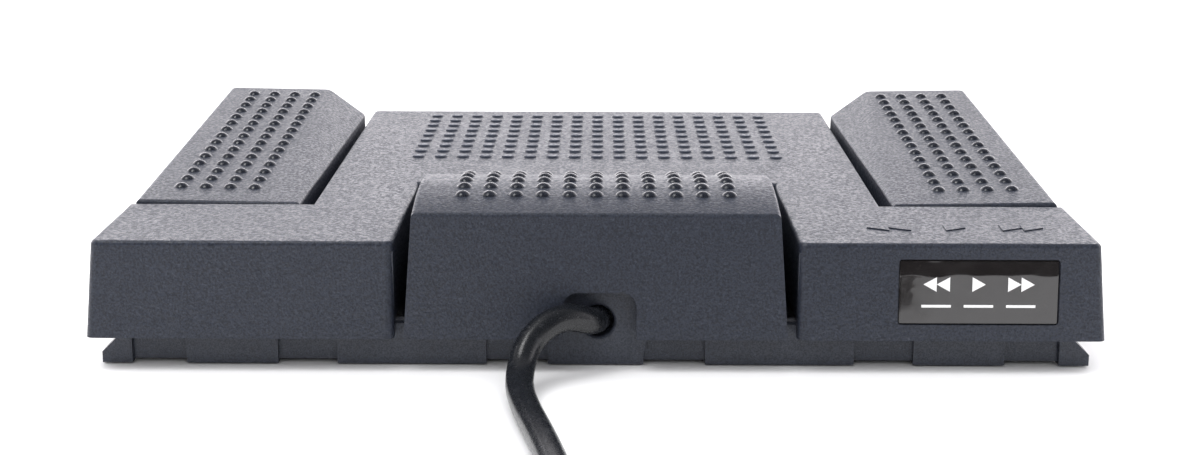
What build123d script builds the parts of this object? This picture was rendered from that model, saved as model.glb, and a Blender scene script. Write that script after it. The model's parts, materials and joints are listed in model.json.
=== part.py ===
"""Four-tread transcription foot switch: a castellated base tray, a centre pedal that is one
moulding with the rear cover, two wing pedals, a rear top pedal, and the lead with its plug.

Millimetres. X runs across the switch, +Y points away from the lead towards the tread fronts,
+Z is up and Z = 0 is the floor. The origin is under the middle of the switch.
"""
from build123d import *
import math
import os

os.makedirs("parts", exist_ok=True)

# ---- driving dimensions -------------------------------------------------------------------
cover_width = 205.0  # across the top of the rear cover
cover_depth = 150.8  # along the top, rear edge to front edge
cover_top = 27.0
skirt_bottom = 7.0
wall_draft = 4.5  # degrees that the outside walls lean outwards
shell = 2.2
edge_round = 0.9
corner_round = 1.6

plate_width = 124.6  # centre tread
seam_y = -cover_depth / 2 + 34.4  # where the rear cover ends and the wings begin
seam_gap = 0.6
notch_width = 82.4  # opening in the cover for the top pedal
notch_front = -cover_depth / 2 + 56.7

hinge_y = seam_y + 4.0  # common hinge line of the centre and wing pedals
hinge_z = 19.6
shaft_radius = 1.5
running_fit = 0.05
barrel_radius = 3.4

wing_inner = 65.3  # inner rear corner of the wing tread
wing_outer = 101.35
wing_slot_front = 63.4  # inner edge where the slot ends
wing_front = 72.8
wing_pitch = 3.25  # degrees, treads rise towards the front
wing_roll = 0.9  # degrees, treads rise towards the outside
wing_chamfer = (10.9, 11.6)
wing_low_corner = 28.55  # height of the tread where the slot meets the chamfer
crease_round = 6.0
wing_shell = 2.0
wing_bottom = 8.0

block_top_width = 74.2
block_bottom_width = 78.4
block_crown_radius = 67.0
block_crown = (-56.4, 35.5)  # highest point of the crowned top: y, z
block_front = -21.9
top_hinge = (-28.2, 12.0)  # y, z of the top pedal's pin
cable_window = (15.0, 9.7, 3.0)  # width, height and corner radius of the window for the lead

nub_radius = 1.6
nub_height = 0.85
nub_pitch = 5.5

base_side = 97.3  # recessed face of the base wall, half width
base_rear = -71.4
base_front = 67.8
base_wall = 2.2
base_wall_top = 9.5
rib_proud = 1.0  # castellations stand this far out of the wall
floor_under = 1.1
floor_top = 3.3
ribs_reach = 0.4
ribs_across = [(0.0, 19.8), (-38.0, 30.8), (38.0, 30.8), (-75.1, 18.9), (75.1, 18.9)]

lead_diameter = 5.6
lead_x = 0.5
lead_z = 9.6
lead_hole_radius = 3.3

board_bottom = 5.0
board_thickness = 1.6
board_top = board_bottom + board_thickness

sides = {"left": -1, "right": 1}
beyond = 10.0  # how far a cutting shape runs past the part
weld = 0.1  # how far a rib or boss reaches into the wall that carries it
finger_size = (8.0, 2.4)  # the blade that presses a switch plunger
clamp_size = (22.0, 7.0)
draft_slope = math.tan(math.radians(wall_draft))


def finish(builder, name):
    """Names the piece and writes it."""
    builder.part.label = name
    export_step(builder.part, f"parts/{name}.step")


def dome_radius(radius, height):
    """Radius of the ball whose cap has that foot radius and height."""
    return (radius**2 + height**2) / (2 * height)


nub_ball = dome_radius(nub_radius, nub_height)
nub_sink = nub_ball - nub_height

# ---- centre pedal: rear cover and centre tread in one moulding -----------------------------
plate_nub_radius = 1.56
plate_nub_height = 0.5
plate_nub_rows = (17, 9)
plate_nub_pitch_y = 6.92
plate_nub_centre = 38.93
centre_ears = (48.2, 59.2)
ear_width = 3.6
label_size = (32.4, 13.2)
label_centre = (77.8, 17.1)
label_recess = 0.5
label_thickness = 0.35
label_round = 0.7
cheek_inset = 0.4  # the notch walls start this far inside the top rear edge
side_rib_bottom = 21.6
notch_wall_bottom = 12.0
cheek_bottom = 10.4
cheek_depth = 1.8

wall_out = (cover_top - label_centre[1]) * draft_slope
rear_normal = (0, -math.cos(math.radians(wall_draft)), math.sin(math.radians(wall_draft)))
label_plane = Plane(
    origin=(label_centre[0], -cover_depth / 2 - wall_out, label_centre[1]),
    x_dir=(1, 0, 0),
    z_dir=rear_normal,
)
centre_spring_at = (40.0, 20.0)
centre_switch_y = hinge_y + 34.0
boss_radius = 3.4
spigot_radius = 2.1
centre_boss_bottom = 20.0
plunger_top = 16.2
plunger_gap = 0.15

# a low button: steep at its foot, nearly flat on top
with BuildPart() as plate_nub:
    with BuildSketch(Plane.XZ):
        Polygon(
            (0, -plate_nub_height),
            (plate_nub_radius, -plate_nub_height),
            (plate_nub_radius, 0),
            (0.94 * plate_nub_radius, 0.7 * plate_nub_height),
            (0.74 * plate_nub_radius, 0.94 * plate_nub_height),
            (0, plate_nub_height),
            align=None,
        )
    revolve(axis=Axis.Z)

with BuildPart() as centre_pedal:
    with BuildSketch(Plane.XY.offset(cover_top)):
        Rectangle(cover_width, cover_depth)
    extrude(amount=-(cover_top - skirt_bottom), taper=-wall_draft)
    side_cut = cover_width / 2 + beyond - plate_width / 2
    for side in sides.values():
        with BuildSketch(Plane.XY.offset(skirt_bottom - 1)):
            with Locations((side * (plate_width / 2 + side_cut / 2), seam_y)):
                Rectangle(side_cut, cover_depth, align=(Align.CENTER, Align.MIN))
        extrude(amount=cover_top, mode=Mode.SUBTRACT)
    with BuildSketch(Plane.XY.offset(skirt_bottom - 1)):
        with Locations((0, notch_front)):
            Rectangle(notch_width, cover_depth, align=(Align.CENTER, Align.MAX))
    extrude(amount=cover_top, mode=Mode.SUBTRACT)
    upright = centre_pedal.edges().filter_by(lambda e: abs((e % 0.5).Z) > 0.9)
    outer = upright.filter_by(lambda e: abs((e @ 0.5).Y) > cover_depth / 2 - 1)
    fillet(outer, corner_round)
    top_face = centre_pedal.faces().sort_by(Axis.Z)[-1]
    fillet(top_face.edges(), edge_round)
    with Locations((0, plate_nub_centre, cover_top)):
        with GridLocations(nub_pitch, plate_nub_pitch_y, *plate_nub_rows):
            add(plate_nub.part)
    with BuildSketch(Plane.XY.offset(cover_top - shell)):
        Rectangle(cover_width - 2 * shell, cover_depth - 2 * shell)
    extrude(amount=-cover_top, taper=-wall_draft, mode=Mode.SUBTRACT)
    # walls round the notch, short where they pass over the base wall, and down the tread
    for side in sides.values():
        outward = Align.MIN if side > 0 else Align.MAX
        with BuildSketch(Plane.XY.offset(skirt_bottom)):
            with Locations((side * (notch_width / 2), -cover_depth / 2 + cheek_inset)):
                Rectangle(shell, cheek_depth, align=(outward, Align.MIN))
        extrude(amount=cover_top - shell - skirt_bottom + weld)
        with BuildSketch(Plane.XY.offset(cheek_bottom)):
            with Locations((side * (notch_width / 2), -cover_depth / 2 + cheek_inset)):
                Rectangle(
                    shell,
                    notch_front + cover_depth / 2 + shell - cheek_inset,
                    align=(outward, Align.MIN),
                )
        extrude(amount=cover_top - shell - cheek_bottom + weld)
        with BuildSketch(Plane.XY.offset(side_rib_bottom)):
            with Locations((side * plate_width / 2, seam_y)):
                Rectangle(
                    shell,
                    cover_depth / 2 - seam_y - 1,
                    align=(Align.MAX if side > 0 else Align.MIN, Align.MIN),
                )
        extrude(amount=cover_top - shell - side_rib_bottom + weld)
    with BuildSketch(Plane.XY.offset(notch_wall_bottom)):
        with Locations((0, notch_front)):
            Rectangle(notch_width + 2 * shell, shell, align=(Align.CENTER, Align.MIN))
    extrude(amount=cover_top - shell - notch_wall_bottom + weld)
    # hinge ears
    for ear in [side * x for side in sides.values() for x in centre_ears]:
        with BuildSketch(Plane.YZ.offset(ear - ear_width / 2)):
            with Locations((hinge_y, hinge_z)):
                Circle(barrel_radius)
                Rectangle(
                    2 * barrel_radius,
                    cover_top - shell - hinge_z + weld,
                    align=(Align.CENTER, Align.MIN),
                )
                Circle(shaft_radius + running_fit, mode=Mode.SUBTRACT)
        extrude(amount=ear_width)
    # spring cups and the finger over the switch
    for side in sides.values():
        with BuildSketch(Plane.XY.offset(centre_boss_bottom)):
            with Locations((side * centre_spring_at[0], centre_spring_at[1])):
                Circle(boss_radius)
        extrude(amount=cover_top - shell - centre_boss_bottom + weld)
    with BuildSketch(Plane.XY.offset(plunger_top + plunger_gap)):
        with Locations((0, centre_switch_y)):
            Rectangle(*finger_size)
    extrude(amount=cover_top - shell - plunger_top - plunger_gap + weld)
    # shallow recess for the label
    with BuildSketch(label_plane):
        RectangleRounded(label_size[0] + 0.4, label_size[1] + 0.4, label_round + 0.2)
    extrude(amount=-label_recess, mode=Mode.SUBTRACT)
finish(centre_pedal, "centre_pedal")

with BuildPart() as label_plate:
    with BuildSketch(label_plane.offset(-label_recess)):
        RectangleRounded(*label_size, label_round)
    extrude(amount=label_thickness)
finish(label_plate, "label_plate")

# ---- wing pedals -----------------------------------------------------------------------------
pitch_slope = math.tan(math.radians(wing_pitch))
roll_slope = math.tan(math.radians(wing_roll))
wing_rear = seam_y + seam_gap
wing_plane = Plane(
    origin=(wing_inner, wing_rear, cover_top),
    x_dir=(1, 0, roll_slope),
    z_dir=(-roll_slope, -pitch_slope, 1),
)
wing_width = wing_outer - wing_inner
wing_length = wing_front - wing_rear
slot_lean = wing_slot_front - wing_inner
chamfer_x, chamfer_y = wing_chamfer
wing_outline = [
    (0, 0),
    (wing_width, 0),
    (wing_width, wing_length),
    (slot_lean + chamfer_x, wing_length),
    (slot_lean, wing_length - chamfer_y),
]
wing_nubs = (4, 15)
wing_nub_pitch_y = 6.67
wing_nub_centre = (20.25, 58.5)
wing_draft = 1.5
wing_ears = (73.0, 91.8)
wing_spring_at = (83.0, 12.0)
wing_switch_at = (76.0, hinge_y + 22.0)
wing_boss_bottom = 21.5
wing_inner_wall = 17.0  # lower edge of the wall along the slot
# the tread falls away towards the slot, from a crease between its rear inner corner and the
# front end of its chamfer
crease_start = Vector(wing_inner, wing_rear, cover_top)
crease_end = Vector(
    wing_slot_front + chamfer_x,
    wing_front,
    cover_top + (slot_lean + chamfer_x) * roll_slope + wing_length * pitch_slope,
)
low_corner = Vector(wing_slot_front, wing_front - chamfer_y, wing_low_corner)
wing_facet = Plane(
    origin=crease_start,
    x_dir=crease_end - crease_start,
    z_dir=(crease_end - crease_start).cross(low_corner - crease_start),
)
wing_rear_wall = 23.5  # lower edge of the wall at the hinge


def wing_top(x, y):
    """Height of the wing's tread above the floor."""
    return cover_top + (x - wing_inner) * roll_slope + (y - wing_rear) * pitch_slope


def upward_sides(edge, body):
    """How many of the faces beside an edge of the body look upwards."""
    upward = body.faces().filter_by(lambda f: f.normal_at().Z > 0.5)
    return sum(any(edge.is_same(other) for other in face.edges()) for face in upward)


with BuildPart() as wing_hollow:
    with BuildSketch(wing_plane.offset(-wing_shell)):
        Polygon(*wing_outline, align=None)
        offset(amount=-wing_shell, kind=Kind.INTERSECTION, mode=Mode.REPLACE)
    extrude(amount=-(cover_top + 3), taper=-wing_draft)
    split(bisect_by=wing_facet.offset(-wing_shell), keep=Keep.BOTTOM)

with BuildPart() as right_pedal:
    with BuildSketch(wing_plane):
        Polygon(*wing_outline, align=None)
    extrude(amount=-(cover_top + 1), taper=-wing_draft)
    split(bisect_by=wing_facet, keep=Keep.BOTTOM)
    upright = right_pedal.edges().filter_by(lambda e: abs((e % 0.5).Z) > 0.9)
    fillet(upright.filter_by(lambda e: (e @ 0.5).Y > 0), corner_round)
    fillet([e for e in right_pedal.edges() if upward_sides(e, right_pedal) == 2], crease_round)
    fillet([e for e in right_pedal.edges() if upward_sides(e, right_pedal) == 1], edge_round)
    with Locations(wing_plane.location):
        with Locations((*wing_nub_centre, -nub_sink)):
            with GridLocations(nub_pitch, wing_nub_pitch_y, *wing_nubs):
                Sphere(nub_ball)
    add(wing_hollow.part, mode=Mode.SUBTRACT)
    split(bisect_by=Plane.XY.offset(wing_bottom), keep=Keep.TOP)
    # the rear wall and the wall along the slot are short, so that the hinge has room
    with BuildSketch(Plane.XY):
        with Locations((wing_inner - 8, wing_rear - 2)):
            Rectangle(wing_outer - wing_inner + 5.6, 10, align=(Align.MIN, Align.MIN))
    extrude(amount=wing_rear_wall, mode=Mode.SUBTRACT)
    with BuildSketch(Plane.XY):
        Polygon(
            (wing_inner - 8, wing_rear - 2),
            (wing_inner + 4, wing_rear - 2),
            (wing_inner + 4, wing_front - chamfer_y - 1),
            (wing_inner + 11.4, wing_front - 2.6),
            (wing_inner - 8, wing_front - 2.6),
            align=None,
        )
    extrude(amount=wing_inner_wall, mode=Mode.SUBTRACT)
    for ear in wing_ears:
        with BuildSketch(Plane.YZ.offset(ear - ear_width / 2)):
            with Locations((hinge_y, hinge_z)):
                Circle(barrel_radius)
                Rectangle(
                    2 * barrel_radius,
                    cover_top - wing_shell - hinge_z + 0.3,
                    align=(Align.CENTER, Align.MIN),
                )
                Circle(shaft_radius + running_fit, mode=Mode.SUBTRACT)
        extrude(amount=ear_width)
    with BuildSketch(Plane.XY.offset(wing_boss_bottom)):
        with Locations(wing_spring_at):
            Circle(boss_radius)
    extrude(amount=wing_top(*wing_spring_at) - wing_shell - wing_boss_bottom + weld)
    with BuildSketch(Plane.XY.offset(plunger_top + plunger_gap)):
        with Locations(wing_switch_at):
            Rectangle(*finger_size)
    extrude(amount=wing_top(*wing_switch_at) - wing_shell - plunger_top - plunger_gap + weld)
finish(right_pedal, "right_pedal")

with BuildPart() as left_pedal:
    mirror(right_pedal.part, about=Plane.YZ)
finish(left_pedal, "left_pedal")

# ---- top pedal: the crowned block in the notch ----------------------------------------------
crown_y, crown_z = block_crown
rear_face = -cover_depth / 2 + 0.3
block_cavity_drop = 3.0  # the hollow is cut right through the open underside
block_rear_bottom = -cover_depth / 2 - (cover_top - skirt_bottom) * draft_slope


def crown(y, radius=block_crown_radius):
    """Height of the crowned top above the floor."""
    return crown_z - block_crown_radius + math.sqrt(radius**2 - (y - crown_y) ** 2)


def block_profile(inset):
    """Side view of the block, or of its hollow, with walls of that thickness."""
    rear = rear_face + inset
    front = block_front - inset
    low = skirt_bottom - (block_cavity_drop if inset else 0)
    radius = block_crown_radius - inset
    foot = block_rear_bottom + inset
    Line((front, crown(front, radius)), (front, low))
    Line((front, low), (foot, low))
    Line((foot, low), (rear, crown(rear, radius)))
    ThreePointArc(
        (rear, crown(rear, radius)),
        (crown_y, crown(crown_y, radius)),
        (front, crown(front, radius)),
    )


top_ears = 26.0
top_nubs_x = 11
top_nub_rows = (-66.0, -60.7, -55.4, -50.1, -44.8, -39.5)
top_spring_at = (-18.0, -60.0)
top_switch_at = (15.4, -52.0)
top_boss_bottom = 24.0
top_finger = plunger_top + plunger_gap
block_cheek_rear = -73.9
block_cheek_bottom = 12.2


def block_width(inset):
    """Front view of the block: a trapezium that is wider at the foot."""
    top = block_top_width / 2 - inset
    foot = block_bottom_width / 2 - inset
    low = skirt_bottom
    Polygon(
        (-top, crown_z + 1), (top, crown_z + 1), (foot, low), (foot, low - 5),
        (-foot, low - 5), (-foot, low), align=None,
    )


with BuildPart() as block_hollow:
    with BuildSketch(Plane.YZ.offset(-block_bottom_width)):
        with BuildLine():
            block_profile(shell)
        make_face()
    extrude(amount=2 * block_bottom_width)
    with BuildSketch(Plane.XZ.offset(-cover_depth)):
        block_width(shell)
    extrude(amount=2 * cover_depth, mode=Mode.INTERSECT)

with BuildPart() as top_pedal:
    with BuildSketch(Plane.YZ.offset(-block_bottom_width)):
        with BuildLine():
            block_profile(0)
        make_face()
    extrude(amount=2 * block_bottom_width)
    with BuildSketch(Plane.XZ.offset(-cover_depth)):
        block_width(0)
    extrude(amount=2 * cover_depth, mode=Mode.INTERSECT)
    crowned = top_pedal.faces().filter_by(GeomType.CYLINDER).sort_by(Axis.Z)[-1]
    fillet(crowned.edges(), edge_round)
    rows = [
        Location((0, crown_y + (block_crown_radius - nub_sink) * math.sin(angle),
                  crown_z - block_crown_radius + (block_crown_radius - nub_sink) * math.cos(angle)))
        for angle in [math.asin((y - crown_y) / block_crown_radius) for y in top_nub_rows]
    ]
    with Locations(*rows):
        with GridLocations(nub_pitch, 1, top_nubs_x, 1):
            Sphere(nub_ball)
    add(block_hollow.part, mode=Mode.SUBTRACT)
    # window in the rear wall for the lead
    window_width, window_height, window_round = cable_window
    with BuildSketch(Plane.XZ.offset(cover_depth / 2 - 8)):
        with Locations((lead_x + 0.3, skirt_bottom - 5)):
            RectangleRounded(window_width, 2 * (window_height + 5), window_round)
    extrude(amount=20, mode=Mode.SUBTRACT)
    # the side walls pass over the base wall, and the front wall stops above the circuit board
    with BuildSketch(Plane.XY.offset(skirt_bottom - 1)):
        with Locations((0, block_cheek_rear)):
            Rectangle(2 * block_bottom_width, 60, align=(Align.CENTER, Align.MIN))
    extrude(amount=block_cheek_bottom - skirt_bottom + 1, mode=Mode.SUBTRACT)
    for side in sides.values():
        with BuildSketch(Plane.YZ.offset(side * top_ears - ear_width / 2)):
            with Locations(top_hinge):
                Circle(barrel_radius)
                Rectangle(
                    2 * barrel_radius,
                    crown(top_hinge[0]) - shell - top_hinge[1] - 0.9,
                    align=(Align.CENTER, Align.MIN),
                )
                Circle(shaft_radius + running_fit, mode=Mode.SUBTRACT)
        extrude(amount=ear_width)
        with BuildSketch(Plane.YZ.offset(side * top_ears - ear_width / 2)):
            with Locations((top_hinge[0] - barrel_radius, crown(top_hinge[0]) - shell - 2.5)):
                Rectangle(2 * barrel_radius - 0.4, 3, align=(Align.MIN, Align.MIN))
        extrude(amount=ear_width)
    with BuildSketch(Plane.XY.offset(top_boss_bottom)):
        with Locations(top_spring_at):
            Circle(boss_radius)
    extrude(amount=crown(top_spring_at[1]) - shell - top_boss_bottom + 0.3)
    with BuildSketch(Plane.XY.offset(top_finger)):
        with Locations(top_switch_at):
            Rectangle(*finger_size)
    extrude(amount=crown(top_switch_at[1]) - shell - top_finger + weld)
finish(top_pedal, "top_pedal")

# ---- base tray -----------------------------------------------------------------------------------
base_depth = base_front - base_rear
base_middle = (base_front + base_rear) / 2
rib_top = 9.0
lead_wall_top = 17.5
lead_wall_width = 20.0
shaft_posts = (53.6, 66.6, 83.0)
post_width = 4.6
top_posts = 31.4
foot_radius = 7.0
foot_height = 2.2
heel_height = 6.0
heel_length = 6.0
heel_toe = 2.3
spigot_height = 3.0
blind_hole = (1.6, 6.0)  # depth of the screw holes in the floor and in the clamp's block
foot_places = [(x, y) for x in (-84, 84) for y in (-58, 56)]
board_screws_at = [(-84, -8), (84, -8), (-20, 2), (20, 2), (-20, -46), (20, -46)]
ballast_screws_at = [(-70, 33), (70, 33), (-70, 60), (70, 60)]
side_ribs = [(-48.0, 24.0), (-3.0, 30.0), (42.0, 24.0)]
clamp_y = -62.0
clamp_screws_x = 7.6
flare_out = 102.0
insert_radius = 1.25

with BuildPart() as base_tray:
    with BuildSketch(Plane.XY.offset(floor_under)):
        with Locations((0, base_middle)):
            RectangleRounded(2 * base_side, base_depth, 2.0)
    extrude(amount=base_wall_top - floor_under)
    with BuildSketch(Plane.XY.offset(floor_top)):
        with Locations((0, base_middle)):
            RectangleRounded(2 * (base_side - base_wall), base_depth - 2 * base_wall, 1.0)
    extrude(amount=base_wall_top, mode=Mode.SUBTRACT)
    # castellations on all four walls
    with BuildSketch(Plane.XY.offset(ribs_reach)):
        for middle, width in ribs_across:
            with Locations((middle, base_rear), (middle, base_front)):
                Rectangle(width, 2 * rib_proud)
        for middle, width in side_ribs:
            with Locations((-base_side, middle), (base_side, middle)):
                Rectangle(2 * rib_proud, width)
    extrude(amount=rib_top - ribs_reach)
    # flared heels at the rear corners
    for side in sides.values():
        with BuildSketch(Plane.XZ.offset(-base_rear + rib_proud)):
            Polygon(
                (side * (base_side - 1.5), ribs_reach),
                (side * flare_out, ribs_reach),
                (side * flare_out, ribs_reach + heel_toe),
                (side * (base_side + 0.9), ribs_reach + heel_height),
                (side * (base_side - 1.5), ribs_reach + heel_height),
                align=None,
            )
        extrude(amount=-heel_length)
    # taller wall where the lead passes through
    with BuildSketch(Plane.XY.offset(floor_top)):
        with Locations((lead_x, base_rear - rib_proud)):
            Rectangle(lead_wall_width, 3.2, align=(Align.CENTER, Align.MIN))
    extrude(amount=lead_wall_top - floor_top)
    with BuildSketch(Plane.XZ.offset(-base_rear + 4)):
        with Locations((lead_x, lead_z)):
            Circle(lead_hole_radius)
    extrude(amount=-12, mode=Mode.SUBTRACT)
    mouth = base_tray.edges().filter_by(GeomType.CIRCLE).filter_by(
        lambda e: abs(e.radius - lead_hole_radius) < 0.01
    )
    fillet(mouth.sort_by(Axis.Y)[0], 0.7)
    # hinge posts, drilled for the shafts
    for post in [side * x for side in sides.values() for x in shaft_posts]:
        with BuildSketch(Plane.YZ.offset(post - post_width / 2)):
            with Locations((hinge_y, hinge_z)):
                Circle(barrel_radius)
            with Locations((hinge_y, floor_top)):
                Rectangle(
                    2 * barrel_radius, hinge_z - floor_top, align=(Align.CENTER, Align.MIN)
                )
            with Locations((hinge_y, hinge_z)):
                Circle(shaft_radius, mode=Mode.SUBTRACT)
        extrude(amount=post_width)
    for side in sides.values():
        with BuildSketch(Plane.YZ.offset(side * top_posts - 2.0)):
            with Locations(top_hinge):
                Circle(barrel_radius)
            with Locations((top_hinge[0], floor_top)):
                Rectangle(
                    2 * barrel_radius, top_hinge[1] - floor_top,
                    align=(Align.CENTER, Align.MIN),
                )
            with Locations(top_hinge):
                Circle(shaft_radius, mode=Mode.SUBTRACT)
        extrude(amount=4.0)
    # spring seats with a locating spigot
    seats = [
        (*centre_spring_at, 8.0), (-centre_spring_at[0], centre_spring_at[1], 8.0),
        (*wing_spring_at, 8.0), (-wing_spring_at[0], wing_spring_at[1], 8.0),
        (*top_spring_at, 10.0),
    ]
    for x, y, height in seats:
        with BuildSketch(Plane.XY.offset(floor_top - 0.5)):
            with Locations((x, y)):
                Circle(boss_radius + 1.4)
        extrude(amount=height - floor_top + 0.5)
        with BuildSketch(Plane.XY.offset(height)):
            with Locations((x, y)):
                Circle(spigot_radius)
        extrude(amount=spigot_height)
    # standoffs for the circuit board and bosses for the screws
    with BuildSketch(Plane.XY.offset(floor_top - 0.5)):
        with Locations(*board_screws_at):
            Circle(3.0)
    extrude(amount=board_bottom - floor_top + 0.5)
    with BuildSketch(Plane.XY.offset(floor_top - 0.5)):
        with Locations((lead_x, clamp_y)):
            Rectangle(*clamp_size)
    extrude(amount=lead_z - floor_top + 0.5)
    with BuildSketch(Plane.XZ.offset(-clamp_y + 6)):
        with Locations((lead_x, lead_z)):
            Circle(lead_diameter / 2)
    extrude(amount=-12, mode=Mode.SUBTRACT)
    screw_holes = (
        [(x, y, board_bottom) for x, y in board_screws_at]
        + [(x, y, floor_top) for x, y in ballast_screws_at]
        + [(lead_x + side * clamp_screws_x, clamp_y, lead_z) for side in sides.values()]
    )
    for x, y, height in screw_holes:
        with BuildSketch(Plane.XY.offset(height)):
            with Locations((x, y)):
                Circle(insert_radius)
        extrude(amount=-blind_hole[0 if height < lead_z else 1], mode=Mode.SUBTRACT)
    # pockets for the rubber feet
    with BuildSketch(Plane.XY):
        with Locations(*foot_places):
            Circle(foot_radius)
    extrude(amount=foot_height, mode=Mode.SUBTRACT)
finish(base_tray, "base_tray")

for name, place in zip(
    ["foot_left_rear", "foot_left_front", "foot_right_rear", "foot_right_front"], foot_places
):
    with BuildPart() as rubber_foot:
        with BuildSketch(Plane.XY):
            with Locations(place):
                Circle(foot_radius)
        extrude(amount=foot_height)
        fillet(rubber_foot.edges().group_by(Axis.Z)[0], 0.5)
    finish(rubber_foot, name)

# ---- hinge shafts, pin and retaining clips --------------------------------------------------
shaft_inner = 44.2
shaft_outer = 97.2
clip_places = (45.2, 96.2)
for name, side in sides.items():
    with BuildPart() as hinge_shaft:
        with BuildSketch(Plane.YZ.offset(side * shaft_inner)):
            with Locations((hinge_y, hinge_z)):
                Circle(shaft_radius)
        extrude(amount=side * (shaft_outer - shaft_inner))
        chamfer(hinge_shaft.edges().filter_by(GeomType.CIRCLE), 0.3)
    finish(hinge_shaft, f"{name}_hinge_shaft")

with BuildPart() as shaft_clips:
    for clip in [side * x for side in sides.values() for x in clip_places]:
        with BuildSketch(Plane.YZ.offset(clip - 0.3)):
            with Locations((hinge_y, hinge_z)):
                Circle(2.6)
                Circle(shaft_radius, mode=Mode.SUBTRACT)
            with Locations((hinge_y, hinge_z - 2.6)):
                Rectangle(1.8, 2.6, mode=Mode.SUBTRACT)
        extrude(amount=0.6)
finish(shaft_clips, "shaft_clips")

pin_half = 34.4
with BuildPart() as top_pedal_pin:
    with BuildSketch(Plane.YZ.offset(-pin_half)):
        with Locations(top_hinge):
            Circle(shaft_radius)
    extrude(amount=2 * pin_half)
    chamfer(top_pedal_pin.edges().filter_by(GeomType.CIRCLE), 0.3)
finish(top_pedal_pin, "top_pedal_pin")


# ---- return springs -------------------------------------------------------------------------------
spring_wire = 0.7
spring_radius = 3.0
spring_turns = 5.5


def make_spring(name, x, y, low, high):
    """Compression spring that stands between its seat and the pedal's boss."""
    height = high - low - spring_wire - 0.1
    with BuildPart() as spring:
        with BuildLine(Plane((x, y, low + spring_wire / 2 + 0.05))) as wire:
            Helix(pitch=height / spring_turns, height=height, radius=spring_radius)
        with BuildSketch(Plane(origin=wire.line @ 0, z_dir=wire.line % 0)):
            Circle(spring_wire / 2)
        sweep(path=wire.line, is_frenet=True)
    finish(spring, name)


make_spring("left_spring", -wing_spring_at[0], wing_spring_at[1], 8.0, wing_boss_bottom)
make_spring("right_spring", *wing_spring_at, 8.0, wing_boss_bottom)
make_spring("centre_spring_left", -centre_spring_at[0], centre_spring_at[1], 8.0, centre_boss_bottom)
make_spring("centre_spring_right", *centre_spring_at, 8.0, centre_boss_bottom)
make_spring("top_spring", *top_spring_at, 10.0, top_boss_bottom)

# ---- circuit board, switches and wiring -------------------------------------------------------
board_width = 178.0
board_rear = hinge_y + 16.9
board_front = 6.0
tongue_width = 52.0
tongue_rear = -57.5
with BuildPart() as circuit_board:
    with BuildSketch(Plane.XY.offset(board_bottom)):
        with Locations((0, board_rear)):
            Rectangle(board_width, board_front - board_rear, align=(Align.CENTER, Align.MIN))
        with Locations((0, tongue_rear)):
            Rectangle(tongue_width, board_rear - tongue_rear, align=(Align.CENTER, Align.MIN))
        with Locations(*board_screws_at):
            Circle(1.4, mode=Mode.SUBTRACT)
        with Locations(top_spring_at):
            Circle(boss_radius + 2.0, mode=Mode.SUBTRACT)
    extrude(amount=board_thickness)
finish(circuit_board, "circuit_board")

switch_body = (19.8, 6.4, 8.4)
plunger_size = (3.0, 2.2)
plunger_foot = 1.8
switches = {
    "left": (-wing_switch_at[0], wing_switch_at[1]),
    "right": wing_switch_at,
    "centre": (0.0, centre_switch_y),
    "top": top_switch_at,
}
for name, (x, y) in switches.items():
    with BuildPart() as switch:
        with BuildSketch(Plane.XY.offset(board_top)):
            with Locations((x, y)):
                Rectangle(switch_body[0], switch_body[1])
        extrude(amount=switch_body[2])
        fillet(switch.edges().filter_by(Axis.Z), 0.6)
        with BuildSketch(Plane.XY.offset(board_top + switch_body[2])):
            with Locations((x, y)):
                Rectangle(plunger_size[0] + 0.3, plunger_size[1] + 0.3)
        extrude(amount=-(plunger_foot + 1.6), mode=Mode.SUBTRACT)
    finish(switch, f"{name}_switch")
    with BuildPart() as plunger:
        foot = board_top + switch_body[2] - plunger_foot
        with BuildSketch(Plane.XY.offset(foot)):
            with Locations((x, y)):
                Rectangle(*plunger_size)
        extrude(amount=plunger_top - foot)
        fillet(plunger.edges().group_by(Axis.Z)[-1], 0.4)
    finish(plunger, f"{name}_plunger")

chip_at = (34.0, -8.0)
chip_size = (9.9, 3.9, 1.5)
with BuildPart() as encoder_chip:
    with BuildSketch(Plane.XY.offset(board_top + 0.1)):
        with Locations(chip_at):
            Rectangle(chip_size[0], chip_size[1])
    extrude(amount=chip_size[2])
    with BuildSketch(Plane.XY.offset(board_top)):
        with Locations(chip_at):
            with GridLocations(1.27, 5.2, 8, 2):
                Rectangle(0.4, 1.3)
    extrude(amount=0.3)
finish(encoder_chip, "encoder_chip")

socket_at = (-2.0, -50.0)
socket_size = (10.0, 5.0, 6.0)
socket_rear = socket_at[1] - socket_size[1] / 2
with BuildPart() as wire_socket:
    with BuildSketch(Plane.XY.offset(board_top)):
        with Locations(socket_at):
            Rectangle(socket_size[0], socket_size[1])
    extrude(amount=socket_size[2])
    fillet(wire_socket.edges().filter_by(Axis.Z), 0.4)
finish(wire_socket, "wire_socket")

lead_start = -68.0
sheath_end = -56.6
with BuildPart() as lead_wires:
    with BuildSketch(Plane.XZ.offset(-socket_rear)):
        with GridLocations(1.3, 1.0, 4, 1):
            with Locations((0, lead_z)):
                Circle(0.5)
    extrude(amount=socket_rear - sheath_end)
finish(lead_wires, "lead_wires")

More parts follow.
